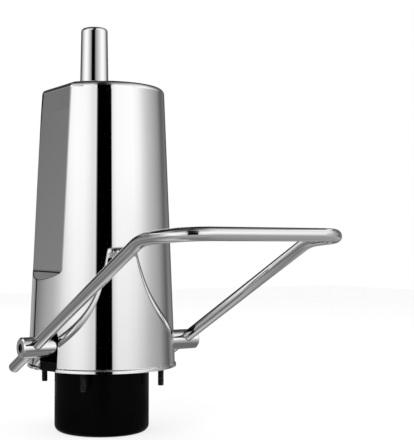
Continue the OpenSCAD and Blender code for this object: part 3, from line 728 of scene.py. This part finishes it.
def direction_angles(t):
    """Azimuth from the camera's side in turns from 0 to 1, and elevation in degrees."""
    way = t.node("ShaderNodeTexCoord").outputs["Generated"]
    values = {"Vector": way, "Axis": (0, 0, 1), "Angle": VIEW_AZIMUTH}
    turned = t.node("ShaderNodeVectorRotate", values, rotation_type="AXIS_ANGLE").outputs[0]
    xyz = t.node("ShaderNodeSeparateXYZ", {0: turned}).outputs
    az = t.math("ARCTAN2", xyz[0], t.math("MULTIPLY", xyz[1], -1.0))
    turn = t.math("MULTIPLY_ADD", az, 1 / (2 * math.pi), 0.5)
    el = t.math("MULTIPLY", t.math("ARCSINE", xyz[2]), 180 / math.pi)
    return turn, el


def room(t):
    """The light that comes from each direction of the room, as the chrome mirrors it."""
    turn, el = direction_angles(t)
    band = t.mix(
        t.spread(el, BAND_LOW, BAND_HIGH), around(t, turn, ROUND_LOW, lin), around(t, turn, ROUND, lin)
    )
    hood = t.mix(t.spread(el, *HOOD_EL), (1, 1, 1), around(t, turn, HOOD))
    band = t.times(t.times(band, hood), around(t, turn, STRIP))
    ground = t.mix(
        around(t, turn, BACK_SHARE), by_height(t, el, -90, GROUND_FRONT), by_height(t, el, -90, GROUND_BACK)
    )
    ground = t.times(ground, around(t, turn, LIFT))
    sky = t.mix(
        around(t, turn, RIGHT_SHARE), by_height(t, el, 0, SKY_LEFT), by_height(t, el, 0, SKY_RIGHT)
    )
    sky = t.times(sky, t.mix(t.spread(el, *UPPER_EL, 1.0, 0.0), (1, 1, 1), around(t, turn, UPPER)))
    low = t.spread(el, *GROUND_EL, curve="SMOOTHSTEP")
    high = t.spread(el, *SKY_EL, curve="SMOOTHSTEP")
    return t.mix(high, t.mix(low, band, ground), sky)


def studio_world():
    """The room for mirrors, plain white for the camera and an even soft light for all else."""
    w = bpy.data.worlds.new("studio")
    scene.world = w
    w.use_nodes = True
    t = Tree(w.node_tree)
    out = t.node("ShaderNodeOutputWorld")
    path = t.node("ShaderNodeLightPath").outputs
    soft = t.node("ShaderNodeBackground", {"Color": (1, 1, 1, 1), "Strength": SOFT_LIGHT})
    seen = t.node("ShaderNodeBackground", {"Color": (1, 1, 1, 1), "Strength": 1.0})
    mirrored = t.node("ShaderNodeBackground", {"Color": room(t), "Strength": 1.0})
    a = t.node("ShaderNodeMixShader", {0: path["Is Glossy Ray"], 1: soft.outputs[0], 2: mirrored.outputs[0]})
    b = t.node("ShaderNodeMixShader", {0: path["Is Camera Ray"], 1: a.outputs[0], 2: seen.outputs[0]})
    t.put(out.inputs["Surface"], b.outputs[0])
    w.cycles.sampling_method = "NONE"


studio_world()

# Cards that only mirrors see
UNSEEN = ("camera", "diffuse", "shadow", "transmission", "volume_scatter")


def at(azimuth, radius, z):
    """A point by its azimuth from the camera's side."""
    w = math.radians(azimuth) - VIEW_AZIMUTH
    return radius * math.sin(w), -radius * math.cos(w), z


def glowing(name, verts, faces, shade, cover=None):
    """A stage mesh that only mirrors see, glowing and covering by its own values at its points."""
    cover = cover or [1.0] * len(verts)
    m, t, surface = new_tree(name)
    glow = t.node("ShaderNodeAttribute", attribute_name="glow").outputs
    e = t.node("ShaderNodeEmission", {"Color": glow["Color"], "Strength": 1.0})
    clear = t.node("ShaderNodeBsdfTransparent")
    both = t.node("ShaderNodeMixShader", {0: glow["Alpha"], 1: clear.outputs[0], 2: e.outputs[0]})
    t.put(surface, both.outputs[0])
    m.cycles.emission_sampling = "NONE"
    o = mesh_object(name, verts, faces, m, smooth=False)
    layer = o.data.attributes.new("glow", "FLOAT_COLOR", "POINT")
    layer.data.foreach_set("color", [c for v, a in zip(shade, cover) for c in (v, v, v, a)])
    for ray in UNSEEN:
        setattr(o, "visible_" + ray, False)


def band_light(azimuth, table):
    """Linear light of a table of sRGB values at an azimuth."""
    return float(np.interp(azimuth, [a for a, _ in table], [lin(v) for _, v in table]))


# The post's surroundings, in sRGB values by azimuth
POST_ROUND = (
    (-180, 60), (-148, 60), (-135, 52), (-123, 132), (-106, 192), (-93, 226), (-81, 249),
    (-70, 256), (-60, 252), (-50, 230), (-41, 206), (-32, 179), (-24, 138), (-20, 70), (-17.5, 5),
    (-5, 1), (5.5, 4), (8.5, 90), (12.5, 140), (20, 168), (30, 186), (39, 207), (48, 224), (57, 239),
    (66, 251), (80, 256), (100, 231), (114, 195), (130, 112), (147, 84), (160, 90), (180, 60),
)


def lantern():
    """A ring above the cover's height, which the post mirrors."""
    radius, z0, z1, n = 0.50, 0.421, 0.527, 720
    turns = [-180 + 360 * i / n for i in range(n)]
    verts = [at(a, radius, z) for z in (z0, z1) for a in turns]
    shade = [band_light(a, POST_ROUND) for a in turns] * 2
    glowing("lantern", verts, tube_faces(2, n), shade)


def flat_card():
    """Hides the lantern from the cover's left flat."""
    x, y0, y1, z0, z1 = -0.08, -0.012, 0.074, 0.299, 0.332
    verts = [(x, y0, z0), (x, y1, z0), (x, y1, z1), (x, y0, z1)]
    glowing("flat_card", verts, [(0, 1, 2, 3)], [lin(115)] * 4)


def ledge_card():
    """Shows a mid grey to the ledge under the left flat, where the room itself is dark; its rim is clear."""
    radius, grey = 0.2, lin(121)
    columns = ((-116, 0), (-123, 1), (-127, 1), (-131, 1), (-135, 1), (-143, 0))
    rows = ((0.166, 0), (0.18, 1), (0.235, 1), (0.262, 0))
    verts = [at(a, radius, z) for a, _ in columns for z, _ in rows]
    cover = [float(across * up) for _, across in columns for _, up in rows]
    high = len(rows)
    faces = []
    for i in range(len(columns) - 1):
        for k in range(high - 1):
            first = high * i + k
            faces.append((first, first + high, first + high + 1, first + 1))
    glowing("ledge_card", verts, faces, [grey] * len(verts), cover)


def collar():
    """Hides the lantern from the cover's round edge and shows it the room's own band instead.

    It spans the edge's front, from the angle first on. A point of the edge mirrors about twice its own angle,
    shifted by the camera's nearness, and the card stands where that line of sight meets its radius.
    """
    edge_r, edge_z, radius, n = 0.0718, 0.3155, 0.085, 140
    first, span = -14, 44
    turned, offset, parallax, parallax_at = 2.07, -2.91, 3.8, 0.05
    under, low_rise, over, high_rise = -0.0034, 0.25, 0.0015, 0.51
    verts, shade = [], []
    for i in range(n + 1):
        a = math.radians(first + span * i / n)
        toward = turned * math.degrees(a) + offset + parallax * math.sin(a - parallax_at)
        d = math.radians(toward)
        x, y = edge_r * math.sin(a), edge_r * math.cos(a)
        half = x * math.sin(d) + y * math.cos(d)
        far = -half + math.sqrt(half * half + radius * radius - edge_r * edge_r)
        azimuth = math.degrees(math.atan2(x + far * math.sin(d), y + far * math.cos(d)))
        verts.append(at(azimuth, radius, edge_z + under + low_rise * far))
        verts.append(at(azimuth, radius, edge_z + over + high_rise * far))
        shade += [band_light(toward, ROUND)] * 2
    faces = [(2 * i, 2 * i + 2, 2 * i + 3, 2 * i + 1) for i in range(n)]
    glowing("collar", verts, faces, shade)


def mirror_shadow():
    """A dim disc on the floor as the chrome mirrors it, since the floor isn't mirrored: darkest in a ring."""
    above, sides, grey = 0.0005, 96, lin(92)
    rings = ((0.001, 0.1), (0.06, 0.15), (0.12, 0.5), (0.18, 0.8), (0.23, 0.8), (0.29, 0.0))
    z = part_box("tank")[0].z + above
    verts = [v for r, _ in rings for v in circle(0.0, 0.0, z, r, sides)]
    cover = [d for _, d in rings for _ in range(sides)]
    glowing("mirror_shadow", verts, tube_faces(len(rings), sides), [grey] * len(verts), cover)


lantern()
flat_card()
ledge_card()
collar()
mirror_shadow()


# Lights
LIT_POINT = Vector((0, 0, 0.15))


def area(name, place, size, power):
    """A round lamp that neither the camera nor a mirror sees."""
    d = bpy.data.lights.new(name, "AREA")
    d.shape = "DISK"
    d.size = size
    d.energy = power
    o = bpy.data.objects.new(name, d)
    scene.collection.objects.link(o)
    o.location = place
    o.rotation_mode = "QUATERNION"
    o.rotation_quaternion = (LIT_POINT - Vector(place)).to_track_quat("-Z", "Y")
    o.visible_glossy = False
    o.visible_camera = False


area("key", (-1.3, -0.9, 1.6), 1.0, 16.0)
area("fill", (1.2, -1.3, 1.0), 1.2, 8.0)
area("back", (0.3, 1.6, 1.3), 1.0, 8.0)

# Camera: the photo's size, the focal length and the point of the photo on the camera's axis, in pixels
PHOTO_W, PHOTO_H = 414, 440
FOCAL, CENTRE_X, CENTRE_Y = 978.07, 151.98, 224.48
TILT_UP, ROLL = math.radians(1.17), math.radians(0.12)
CAMERA_AT = (-0.5452, -1.0103, 0.1405)
SENSOR = 36.0


def camera():
    cam = bpy.data.cameras.new("camera")
    o = bpy.data.objects.new("camera", cam)
    scene.collection.objects.link(o)
    scene.camera = o
    ahead, rise = math.cos(TILT_UP), math.sin(TILT_UP)
    forward = Vector((math.sin(VIEW_AZIMUTH) * ahead, math.cos(VIEW_AZIMUTH) * ahead, rise))
    level = Vector((math.cos(VIEW_AZIMUTH), -math.sin(VIEW_AZIMUTH), 0))
    upright = level.cross(forward)
    right = level * math.cos(ROLL) + upright * math.sin(ROLL)
    up = upright * math.cos(ROLL) - level * math.sin(ROLL)
    o.rotation_mode = "QUATERNION"
    o.rotation_quaternion = Matrix((right, up, -forward)).transposed().to_quaternion()
    o.location = CAMERA_AT
    cam.sensor_fit = "AUTO"
    cam.sensor_width = SENSOR
    cam.lens = FOCAL * SENSOR / PHOTO_H
    cam.shift_x = (PHOTO_W / 2 - CENTRE_X) / PHOTO_H
    cam.shift_y = (CENTRE_Y - PHOTO_H / 2) / PHOTO_H
    cam.clip_start, cam.clip_end = 0.01, 50.0


camera()

scene.view_settings.view_transform = "Standard"
